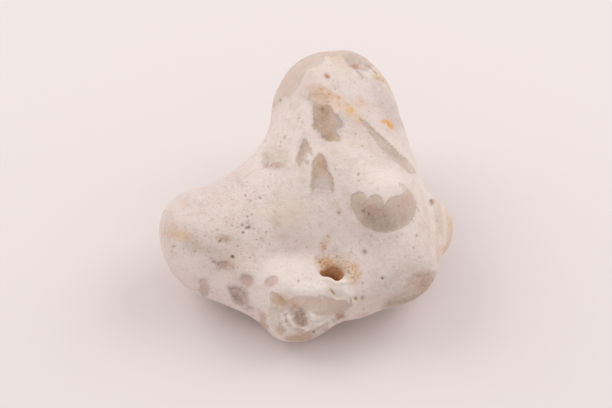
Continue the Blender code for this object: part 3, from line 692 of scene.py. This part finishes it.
class Surface:
    """The stone's mesh, with its points and normals at hand as arrays."""

    def __init__(self, shape):
        self.shape = shape

    def read(self):
        self.shape.normal_update()
        self.points = np.array([v.co for v in self.shape.verts])
        self.normals = np.array([v.normal for v in self.shape.verts])
        self.sight = Sight(self.points, self.normals, BVHTree.FromBMesh(self.shape))

    def move(self, steps):
        self.points = self.points + steps
        for vertex, place in zip(self.shape.verts, self.points):
            vertex.co = place

    def lift(self, height):
        """Raises each point along its normal by metres."""
        self.move(self.normals * height[:, None])

    def smooth(self, rounds, free=None):
        chosen = self.shape.verts if free is None else [v for v, f in zip(self.shape.verts, free) if f]
        for _ in range(rounds):
            bmesh.ops.smooth_vert(
                self.shape, verts=chosen, factor=0.5, use_axis_x=True, use_axis_y=True, use_axis_z=True
            )

    def refine(self, wanted):
        """Halves the faces whose corners are all wanted."""
        self.shape.verts.ensure_lookup_table()
        for vertex, flag in zip(self.shape.verts, wanted):
            vertex.tag = bool(flag)
        edges = [e for e in self.shape.edges if e.verts[0].tag and e.verts[1].tag]
        bmesh.ops.subdivide_edges(self.shape, edges=edges, cuts=1, use_grid_fill=True)


def copy_of_solid(voxel):
    """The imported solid's mesh, closed up and melted into even faces of the voxel's size."""
    shape = bmesh.new()
    shape.from_mesh(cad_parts[SOLID].data)
    bmesh.ops.remove_doubles(shape, verts=shape.verts, dist=0.001 * MM)
    mesh = bpy.data.meshes.new("rough")
    shape.to_mesh(mesh)
    shape.free()
    rough = bpy.data.objects.new("rough", mesh)
    bpy.context.scene.collection.objects.link(rough)
    melt = rough.modifiers.new("melt", "REMESH")
    melt.mode = "VOXEL"
    melt.voxel_size = voxel
    melted = rough.evaluated_get(bpy.context.evaluated_depsgraph_get())
    shape = bmesh.new()
    shape.from_mesh(melted.to_mesh())
    bpy.data.objects.remove(rough)
    bpy.data.meshes.remove(mesh)
    return shape


HOLE_MOUTH = np.array((4.5, -24, 20)) * MM
HOLE_GUARD = 4.2 * MM
HOLE_GUARD_SHAPE = (1, 0.85, 3)
HOLE_FACING = np.array((0.14, -0.45, 0.88))
HOLE_LEAN = 0.12
HOLE_REACH = 3.3  # millimetres
HOLE_FADE = 5  # millimetres
LIP_OUTER = 7 * MM
LIP_INNER = 5 * MM
LIP_NUDGES = (
    Nudge(326.5, 280, 5, 1, 2.4),
    Nudge(332, 282.5, 4, 0.4, 1.6),
    Nudge(321, 273.4, 3.4, -2, 0),
    Nudge(324.5, 268, 4, 0.8, -1),
    Nudge(343, 276, 5, 1.4, 0),
)


def near_hole(points):
    gap = (points - HOLE_MOUTH) / HOLE_GUARD_SHAPE
    return np.linalg.norm(gap, axis=1) < HOLE_GUARD


PIT_RAGGEDNESS = 0.3
PIT_GRAIN = 0.7 * MM
PIT_DEPTH_SHARE = 0.75
PIT_SHADE_SHARE = 0.8
FAR_PIT_RADII = (0.28, 0.75)  # millimetres
FAR_PIT_SHADES = (0.3, 0.9)
FAR_PIT_DEPTH_SHARE = 0.8
STONE_MIDDLE = np.array((1, 0, 18)) * MM


def pits_on(surface):
    """Depth in millimetres and darkness of the pits at each point."""
    sight = surface.sight
    depth = np.zeros(len(surface.points))
    dark = np.zeros(len(surface.points))
    ragged = PIT_RAGGEDNESS * ripple(surface.points, PIT_GRAIN, 1, 6)
    for x, y, radius, deep, shade in PITS:
        gap = np.hypot(sight.x - x, sight.y - y) / radius + ragged
        bowl = np.clip(1 - gap**2, 0, 1) ** 1.5 * sight.seen
        depth = np.maximum(depth, PIT_DEPTH_SHARE * deep * bowl)
        dark = np.maximum(dark, PIT_SHADE_SHARE * shade * smooth_step(1, 0.3, gap) * sight.seen)
    random = np.random.default_rng(PIT_SEED)
    directions = random.normal(size=(PIT_COUNT, 3))
    directions /= np.linalg.norm(directions, axis=1)[:, None]
    for direction in directions:
        radius = random.uniform(*FAR_PIT_RADII) * MM
        shade = random.uniform(*FAR_PIT_SHADES)
        across = surface.points - STONE_MIDDLE
        ahead = across @ direction
        gap = np.linalg.norm(across - ahead[:, None] * direction, axis=1) / radius
        mask = (ahead > 0) * (1 - sight.seen)
        bowl = np.clip(1 - gap**2, 0, 1) ** 1.5 * mask
        depth = np.maximum(depth, FAR_PIT_DEPTH_SHARE * radius / MM * bowl)
        dark = np.maximum(dark, shade * smooth_step(1.1, 0.3, gap) * mask)
    return depth, dark


def linear(colour):
    """A 0 to 255 display colour as light values."""
    shares = np.array(colour) / 255
    return np.where(shares <= 0.04045, shares / 12.92, ((shares + 0.055) / 1.055) ** 2.4)


def lay(paint, share, colour):
    """Lays a share of a colour over paint that holds light values scaled by their own share."""
    paint *= (1 - share)[:, None]
    paint[:, :3] += share[:, None] * linear(colour)
    paint[:, 3] += share


MOTTLE_GRAIN = 1.7 * MM
MOTTLE_LIGHT_SHARE = 0.5
MOTTLE_DARK_SHARE = 0.16


def stains_and_painted_light_on(surface):
    """Colour and strength of the stains and the painted light and shade at each point, as light values
    already scaled by the strength.
    """
    sight = surface.sight
    paint = np.zeros((len(surface.points), 4))
    for colour, strength, soft, mark in STAINS_AND_PAINTED_LIGHT:
        depth = depth_inside(mark, sight.x, sight.y)
        share = strength * smooth_step(-soft, soft * 0.6, depth) * sight.seen
        lay(paint, share, colour)
    mottled = strongest(surface, ((1, 4, MOTTLED),))
    grain = ripple(surface.points, MOTTLE_GRAIN, 2, 12)
    lay(paint, mottled * MOTTLE_LIGHT_SHARE * smooth_step(0.02, 0.4, grain), CHALK_AND_PAINTED_LIGHT)
    lay(paint, mottled * MOTTLE_DARK_SHARE * smooth_step(0.02, 0.4, -grain), WALNUT)
    for colour, strength, ball in FAR_STAINS:
        depth = ball_depth(surface.points, ball) + 3 * ripple(surface.points, 6 * MM, 3, 7)
        lay(paint, strength * smooth_step(-2, 3, depth) * (1 - sight.seen), colour)
    return paint


def strongest(surface, marks, floor=0):
    """The strongest of the marks at each point the camera sees: strength, softness in pixels, mark."""
    sight = surface.sight
    share = np.full(len(surface.points), float(floor))
    for strength, soft, mark in marks:
        depth = depth_inside(mark, sight.x, sight.y)
        share = np.maximum(share, strength * smooth_step(-soft, soft * 0.6, depth) * sight.seen)
    return share


def hole_share(points):
    """How far inside the bored hole each point is, from 0 at its mouth to 1 deep down."""
    gap = (points - HOLE_MOUTH) / MM
    below = -gap @ HOLE_FACING
    beside = np.hypot(gap[:, 0] + HOLE_LEAN * below, gap[:, 1] - HOLE_LEAN * below)
    return smooth_step(0.1, HOLE_FADE, below) * (beside < HOLE_REACH) * (below > 0.1)


def nudge_lip(surface):
    """Works the round lip of the bored hole into an uneven one."""
    sight = surface.sight
    near = smooth_step(LIP_OUTER, LIP_INNER, np.linalg.norm(surface.points - HOLE_MOUTH, axis=1))
    for nudge in LIP_NUDGES:
        gap = np.hypot(sight.x - nudge.x, sight.y - nudge.y) / nudge.reach
        step = np.array((nudge.across, 0, 0)) + nudge.up * sight.up
        surface.move((near * np.exp(-(gap**2)))[:, None] * step * PIXEL * MM)


WAVE = 6 * MM
WAVE_HEIGHT = 0.14  # millimetres
SHORT_WAVE = 1.8 * MM
SHORT_WAVE_HEIGHT = 0.05  # millimetres
CRUMB = 1.5 * MM
CRUMB_HEIGHT = 0.2  # millimetres
PORE_CROWD = 13 * MM
PORE_CROWD_SHARE = 0.6


def carve(surface):
    """Gives the smooth stone its relief and returns what its finish needs to know."""
    points, sight = surface.points, surface.sight
    flint, fields = flint_windows(points, sight)
    pit_depth, pit_dark = pits_on(surface)
    floor_guard = smooth_step(0.3, 1.5, points[:, 2] / MM)
    height = WAVE_HEIGHT * ripple(points, WAVE, 2, 1)
    height = height + SHORT_WAVE_HEIGHT * ripple(points, SHORT_WAVE, 2, 2)
    for rise, soft, mark in RELIEF:
        depth = depth_inside(mark, sight.x, sight.y)
        height += rise * smooth_step(-soft * 0.5, soft * 0.5, depth) * sight.seen
    crumbled = strongest(surface, ((1, 6, CRUMBLED),))
    height += crumbled * CRUMB_HEIGHT * ripple(points, CRUMB, 2, 9)
    height -= fields.pop("sunk") * smooth_step(-0.15, 0.3, flint) + pit_depth
    hole = hole_share(points)
    surface.lift(height * floor_guard * (1 - smooth_step(0, 0.04, hole)) * MM)
    nudge_lip(surface)
    pores = strongest(surface, PORED, PORES_ELSEWHERE)
    crowds = smooth_step(0, 0.5, ripple(points, PORE_CROWD, 2, 10))
    pores = np.maximum(pores, PORE_CROWD_SHARE * crowds * (1 - sight.seen))
    rust = strongest(surface, RUST)
    for x, y, z, radius, strength in FAR_RUST:
        depth = ball_depth(points, (x, y, z, radius)) + 1.5 * ripple(points, 4 * MM, 2, 8)
        rust = np.maximum(rust, strength * smooth_step(-1.5, 2.5, depth) * (1 - sight.seen))
    return {"flint": flint, **fields, "pit": pit_dark, "rust": rust, "hole": hole, "pores": pores}


class Wire:
    """A shader socket that adds a Math node for each of Python's operators used on it."""

    def __init__(self, finish, socket):
        self.finish = finish
        self.socket = socket

    def math(self, operation, *terms):
        return self.finish.node("ShaderNodeMath", {"operation": operation}, dict(enumerate(terms)))

    def __add__(self, other):
        return self.math("ADD", self, other)

    def __sub__(self, other):
        return self.math("SUBTRACT", self, other)

    def __rsub__(self, other):
        return self.math("SUBTRACT", other, self)

    def __mul__(self, other):
        return self.math("MULTIPLY", self, other)

    def __lt__(self, other):
        return self.math("LESS_THAN", self, other)

    def __gt__(self, other):
        return self.math("GREATER_THAN", self, other)

    __radd__ = __add__
    __rmul__ = __mul__


class Finish:
    """A material whose nodes are added one at a time."""

    def __init__(self, name):
        self.material = bpy.data.materials.new(name)
        self.material.use_nodes = True
        self.tree = self.material.node_tree
        self.shader = self.tree.nodes["Principled BSDF"]
        place = self.node("ShaderNodeTexCoord", output="Object")
        self.place = self.node(
            "ShaderNodeVectorMath", {"operation": "SCALE"}, {0: place, "Scale": 1 / MM}
        )

    def node(self, kind, settings=None, sockets=None, output=0):
        made = self.tree.nodes.new(kind)
        for name, value in (settings or {}).items():
            setattr(made, name, value)
        for name, value in (sockets or {}).items():
            if isinstance(value, Wire):
                self.tree.links.new(value.socket, made.inputs[name])
            else:
                made.inputs[name].default_value = value
        return Wire(self, made.outputs[output])

    def noise(self, size, detail=2, roughness=0.5, distortion=0):
        """Noise around 0.5 with lumps of about that many millimetres."""
        return self.node("ShaderNodeTexNoise", {}, {
            "Vector": self.place, "Scale": 1 / size, "Detail": detail,
            "Roughness": roughness, "Distortion": distortion,
        })

    def cells(self, size, feature="F1", output="Distance"):
        return self.node("ShaderNodeTexVoronoi", {"feature": feature}, {
            "Vector": self.place, "Scale": 1 / size,
        }, output)

    def attribute(self, name, output="Fac"):
        return self.node("ShaderNodeAttribute", {"attribute_name": name}, {}, output)

    def step(self, value, low, high, start=0, end=1):
        """Rises smoothly from start to end as the value goes from low to high."""
        return self.node("ShaderNodeMapRange", {"interpolation_type": "SMOOTHSTEP"}, {
            "Value": value, "From Min": low, "From Max": high, "To Min": start, "To Max": end,
        })

    def mix(self, share, first, second, way="MIX"):
        """A blend of two colours."""
        colours = [c if isinstance(c, Wire) else (*c[:3], 1) for c in (first, second)]
        return self.node(
            "ShaderNodeMix", {"data_type": "RGBA", "blend_type": way},
            {0: share, 6: colours[0], 7: colours[1]}, 2,
        )

    def scaled(self, colour, share):
        return self.node(
            "ShaderNodeVectorMath", {"operation": "SCALE"}, {0: colour, "Scale": share}
        )

    def sum_of(self, first, second):
        return self.node("ShaderNodeVectorMath", {"operation": "ADD"}, {0: first, 1: second})

    def shader_value(self, name, value):
        if isinstance(value, Wire):
            self.tree.links.new(value.socket, self.shader.inputs[name])
        else:
            self.shader.inputs[name].default_value = value


GLOSS_SPREAD = 0.12
PORE_SIZES = ((1.7, 0.7), (1, 1.1), (0.6, 0.9))


def stone_finish(settings):
    """Chalky skin over grey to tan flint, with stains, painted light and shade, rust, pores and pits."""
    finish = Finish("chalky_cortex")
    flint, showing, soft, pit, rust, hole, pored = (
        finish.attribute(name) for name in ("flint", "showing", "soft", "pit", "rust", "hole", "pores")
    )
    stain_and_painted_light = finish.attribute("stain_and_painted_light", "Color")
    stain_and_painted_light_share = finish.attribute("stain_and_painted_light", "Alpha")

    ragged = finish.noise(1.3, 3, 0.6) - 0.5
    fine = finish.noise(0.35, 2, 0.6)
    crumbs = finish.noise(0.6, 2, 0.6)
    broad = finish.noise(9, 3, 0.55)
    blotch = finish.noise(2.6, 4, 0.6)
    edge = flint + ragged * (0.3 + soft * 4) + (blotch - 0.5) * soft * 3 + (fine - 0.5) * (0.2 + soft * 4)
    bare = finish.step(edge, 0 - soft, soft)
    left_over = finish.step(crumbs - flint * 0.2, 0.5, 0.58) * (1 - finish.step(flint, 1, 1.8))
    bare = bare * (1 - left_over * 0.75)

    skin = finish.mix(finish.step(broad, 0.35, 0.65), settings.skin_colour, settings.skin_light)
    skin = finish.mix(finish.step(blotch, 0.46, 0.7) * 0.5, skin, settings.skin_shade)
    skin = finish.mix(finish.step(fine, 0.5, 0.75) * 0.4, skin, settings.skin_shade)
    skin = finish.mix(finish.step(finish.noise(0.7, 2, 0.7), 0.48, 0.7) * 0.4, skin, settings.skin_tan)
    skin = finish.mix(finish.step(finish.noise(4.5, 3, 0.6), 0.45, 0.7) * 0.3, skin, settings.skin_tan)
    skin = finish.mix(finish.step(flint + ragged, -0.7, 0.1) * 0.12, skin, settings.flint_colour)

    cloud = finish.noise(3.2, 4, 0.62, 0.4)
    warm = finish.step(finish.noise(11, 2, 0.5), 0.4, 0.62)
    body = finish.mix(warm, settings.flint_colour, settings.flint_warm)
    body = finish.mix(finish.step(cloud, 0.42, 0.75) * 0.5, body, settings.flint_dark)
    body = finish.mix(finish.step(fine, 0.52, 0.7) * 0.35, body, settings.skin_colour)
    thin = 1 - showing * finish.step(cloud, 0.3, 0.6, 0.8, 1.1)
    body = finish.mix(thin, body, settings.skin_colour)
    colour = finish.mix(bare, skin, body)

    pores = 0
    for size, most in PORE_SIZES:
        dots = finish.cells(size)
        which = finish.cells(size, output="Color")
        chosen = finish.node("ShaderNodeSeparateColor", {}, {0: which}, 0)
        wide = finish.node("ShaderNodeSeparateColor", {}, {0: which}, 1)
        dot = finish.step(dots, 0.2 + wide * 0.22, 0.06) * (chosen < pored * most)
        pores = dot + pores
    pores = finish.step(pores, 0, 1) * (1 - bare * 0.8)
    colour = finish.mix(pores * 0.42, colour, settings.pore_colour)

    grains = finish.step(finish.noise(0.8, 3, 0.7), 0.35, 0.62, 0.5, 1.15)
    colour = finish.sum_of(
        finish.scaled(colour, 1 - stain_and_painted_light_share * grains), finish.scaled(stain_and_painted_light, grains)
    )
    grit = finish.noise(0.5, 4, 0.7)
    rusty = finish.step(rust + (grit - 0.5) * 2.4, 0.4, 1) * finish.step(rust, 0.02, 0.3)
    crumbly = finish.step(rust, 0.15, 0.4) * finish.step(pored, 0.2, 0.38)
    rust_tone = finish.mix(
        finish.step(finish.noise(0.7, 2, 0.6) + crumbly * 0.07, 0.46, 0.64),
        settings.rust_colour, settings.rust_dark,
    )
    colour = finish.mix(rusty * (0.85 - crumbly * 0.2), colour, rust_tone)
    colour = finish.mix(finish.step(crumbs, 0.59, 0.64) * crumbly * 0.6, colour, settings.pit_colour)
    colour = finish.mix(finish.step(crumbs, 0.42, 0.36) * crumbly * 0.5, colour, settings.skin_light)
    # The hole's walls: their orange-brown near the mouth, blending deeper in to a paler tone that is painted
    # light lifting the bore's shade.
    hole_tone = finish.mix(finish.step(hole, 0.1, 0.9), settings.hole_colour, settings.hole_deep_with_painted_light)
    hole_tone = finish.mix(finish.step(grit, 0.5, 0.65) * 0.5, hole_tone, settings.rust_dark)
    streaks = finish.step(finish.noise(0.9, 3, 0.65, 1.2), 0.44, 0.58)
    hole_tone = finish.mix(streaks * 0.3, hole_tone, settings.pit_colour)
    colour = finish.mix(finish.step(hole + (grit - 0.5) * 0.1, 0.005, 0.08), colour, hole_tone)
    colour = finish.mix(pit * 0.8, colour, settings.pit_colour)
    finish.shader_value("Base Color", colour)

    least = settings.flint_roughness
    gloss = finish.step(finish.noise(2, 2), 0.3, 0.7, least, least + GLOSS_SPREAD)
    shown = bare * (1 - rusty)
    roughnesses = {0: shown, 2: settings.skin_roughness, 3: gloss}
    rough = finish.node("ShaderNodeMix", {"data_type": "FLOAT"}, roughnesses)
    finish.shader_value("Roughness", rough)

    grain = finish.noise(0.3, 3, 0.65) * (1 - bare * 0.75) * 0.06
    crumb = finish.noise(1.1, 3, 0.6) * (1 - bare * 0.5) * 0.16
    height = grain + crumb - pores * 0.035 - bare * 0.02 - pit * 0.05
    bump = finish.node("ShaderNodeBump", {}, {"Height": height, "Strength": 1, "Distance": MM})
    finish.shader_value("Normal", bump)
    finish.shader_value("IOR", 1.5)
    return finish.material


def floor_finish(settings):
    finish = Finish("studio_floor")
    finish.shader_value("Base Color", (*settings.floor_colour, 1))
    finish.shader_value("Roughness", 0.9)
    finish.shader_value("Specular IOR Level", 0.2)
    return finish.material


def colour_setting(name, description, default):
    light = tuple(float(v) for v in linear(default))
    return bpy.props.FloatVectorProperty(
        name=name, description=description, default=light, size=3, subtype="COLOR", min=0, max=1
    )


def length_setting(name, description, default):
    return bpy.props.FloatProperty(
        name=name, description=description, default=default, subtype="DISTANCE", unit="LENGTH", min=0
    )


class NoduleStoneSettings(bpy.types.PropertyGroup):
    voxel: length_setting("Face size", "Width of the stone's plain faces", 0.5 * MM)
    skin_colour: colour_setting("Skin", "Colour of the chalky skin", (236, 219, 212))
    skin_light: colour_setting("Light skin", "Colour of the skin's paler areas", (241, 228, 222))
    skin_shade: colour_setting("Dark skin", "Colour of the skin's darker blotches", (216, 196, 184))
    skin_tan: colour_setting("Tan skin", "Colour of the skin's warm mottles", (229, 204, 186))
    flint_colour: colour_setting("Flint", "Colour of the grey flint", (198, 172, 154))
    flint_warm: colour_setting("Tan flint", "Colour of the tan flint", (204, 174, 148))
    flint_dark: colour_setting("Dark flint", "Colour of the clouds in the flint", (166, 137, 118))
    pore_colour: colour_setting("Pores", "Colour inside the pores", (186, 146, 118))
    pit_colour: colour_setting("Pits", "Colour inside the pits", (126, 84, 52))
    rust_colour: colour_setting("Rust", "Colour of fresh rust", (236, 178, 100))
    rust_dark: colour_setting("Dark rust", "Colour of old rust", (178, 120, 82))
    hole_colour: colour_setting("Hole", "Colour of the hole's walls near its mouth", (224, 176, 134))
    # The deep tone is painted light that lifts the shade inside the bore.
    hole_deep_with_painted_light: colour_setting("Deep hole", "Colour of the hole's walls deep down", (252, 216, 172))
    skin_roughness: bpy.props.FloatProperty(
        name="Skin roughness", description="Roughness of the chalky skin", default=0.82, min=0, max=1
    )
    flint_roughness: bpy.props.FloatProperty(
        name="Flint roughness", description="Least roughness of the bare flint", default=0.4, min=0, max=1
    )


class NoduleStageSettings(bpy.types.PropertyGroup):
    floor_size: length_setting("Floor size", "Side of the studio floor", 6)
    floor_colour: colour_setting("Floor", "Colour of the studio floor", (239, 230, 229))
    sky_colour: colour_setting("Surroundings", "Colour of the light from all round", (255, 252, 251))
    sky_strength: bpy.props.FloatProperty(
        name="Surroundings strength", description="Strength of the light from all round", default=0.6, min=0
    )
    lamp_power: bpy.props.FloatProperty(
        name="Lamp power", description="Power of each soft lamp", default=1.6,
        subtype="POWER", unit="POWER", min=0,
    )
    lamp_size: length_setting("Lamp size", "Side of each soft lamp", 0.5)
    lamp_place: bpy.props.FloatVectorProperty(
        name="Lamp place",
        description="Where the right lamp hangs; the left one mirrors it",
        default=(0.45, 0.22, 0.5),
        size=3,
        subtype="TRANSLATION", unit="LENGTH",
    )


class NODULE_OT_stone(bpy.types.Operator):
    """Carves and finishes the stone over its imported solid"""

    bl_idname = "nodule.stone"
    bl_label = "Stone"

    def execute(self, context):
        settings = context.scene.nodule_stone
        surface = Surface(copy_of_solid(settings.voxel))
        surface.smooth(6)
        surface.read()
        surface.smooth(12, ~near_hole(surface.points) & (surface.points[:, 2] > 0.5 * MM))
        surface.read()
        flint = flint_windows(surface.points, surface.sight)[0]
        dark = pits_on(surface)[1]
        crumbled = strongest(surface, ((1, 6, CRUMBLED),))
        surface.refine(
            (np.abs(flint) < 0.5) | (dark > 0.02) | (crumbled > 0) | near_hole(surface.points)
        )
        surface.smooth(1)
        surface.read()
        fields = carve(surface)
        stain_and_painted_light = stains_and_painted_light_on(surface)
        mesh = bpy.data.meshes.new("flint_stone")
        surface.shape.to_mesh(mesh)
        surface.shape.free()
        mesh.shade_smooth()
        for name, values in fields.items():
            mesh.attributes.new(name, "FLOAT", "POINT").data.foreach_set("value", values.astype(np.float32))
        paint = mesh.attributes.new("stain_and_painted_light", "FLOAT_COLOR", "POINT")
        paint.data.foreach_set("color", stain_and_painted_light.astype(np.float32).ravel())
        mesh.materials.append(stone_finish(settings))
        if not mesh.polygons:
            raise RuntimeError("the stone came out empty")
        stone = bpy.data.objects.new("flint_stone", mesh)
        context.scene.collection.objects.link(stone)
        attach(stone, "root")
        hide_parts(SOLID)
        return {"FINISHED"}


class NODULE_OT_stage(bpy.types.Operator):
    """Lays the floor, and sets the lamp, the surroundings and the camera"""

    bl_idname = "nodule.stage"
    bl_label = "Stage"

    def execute(self, context):
        settings = context.scene.nodule_stage
        scene = context.scene
        shape = bmesh.new()
        bmesh.ops.create_grid(shape, x_segments=1, y_segments=1, size=settings.floor_size / 2)
        mesh = bpy.data.meshes.new("studio_floor")
        shape.to_mesh(mesh)
        shape.free()
        mesh.materials.append(floor_finish(settings))
        floor = bpy.data.objects.new("studio_floor", mesh)
        scene.collection.objects.link(floor)

        lamp = bpy.data.lights.new("soft_lamp", "AREA")
        lamp.energy = settings.lamp_power
        lamp.size = settings.lamp_size
        for side, name in ((-1, "left_lamp"), (1, "right_lamp")):
            hung = bpy.data.objects.new(name, lamp)
            hung.location = Vector(settings.lamp_place) * Vector((side, 1, 1))
            hung.rotation_euler = (-hung.location).to_track_quat("-Z", "Y").to_euler()
            scene.collection.objects.link(hung)

        world = bpy.data.worlds.new("surroundings")
        world.use_nodes = True
        background = world.node_tree.nodes["Background"]
        background.inputs["Color"].default_value = (*settings.sky_colour, 1)
        background.inputs["Strength"].default_value = settings.sky_strength
        scene.world = world
        scene.view_settings.view_transform = "Standard"

        camera = bpy.data.cameras.new("studio_camera")
        camera.lens = LENS
        camera.sensor_width = SENSOR
        stand = bpy.data.objects.new("studio_camera", camera)
        stand.location = Sight.place
        stand.rotation_euler = (math.pi / 2 - CAMERA_ELEVATION, 0, 0)
        scene.collection.objects.link(stand)
        scene.camera = stand
        return {"FINISHED"}


class NODULE_PT_panel(bpy.types.Panel):
    """Lists the pieces and their settings"""

    bl_idname = "NODULE_PT_panel"
    bl_label = "Nodule"
    bl_space_type = "VIEW_3D"
    bl_region_type = "UI"
    bl_category = "Nodule"

    def draw(self, context):
        for operator, group in (
            (NODULE_OT_stone, context.scene.nodule_stone),
            (NODULE_OT_stage, context.scene.nodule_stage),
        ):
            box = self.layout.box()
            box.operator(operator.bl_idname)
            for name in group.__annotations__:
                box.prop(group, name)


CLASSES = (NoduleStoneSettings, NoduleStageSettings, NODULE_OT_stone, NODULE_OT_stage, NODULE_PT_panel)


def register():
    for each in CLASSES:
        bpy.utils.register_class(each)
    bpy.types.Scene.nodule_stone = bpy.props.PointerProperty(type=NoduleStoneSettings)
    bpy.types.Scene.nodule_stage = bpy.props.PointerProperty(type=NoduleStageSettings)


def unregister():
    del bpy.types.Scene.nodule_stage
    del bpy.types.Scene.nodule_stone
    for each in reversed(CLASSES):
        bpy.utils.unregister_class(each)


def main():
    register()
    bpy.ops.nodule.stone()
    bpy.ops.nodule.stage()


if __name__ == "__main__":
    main()
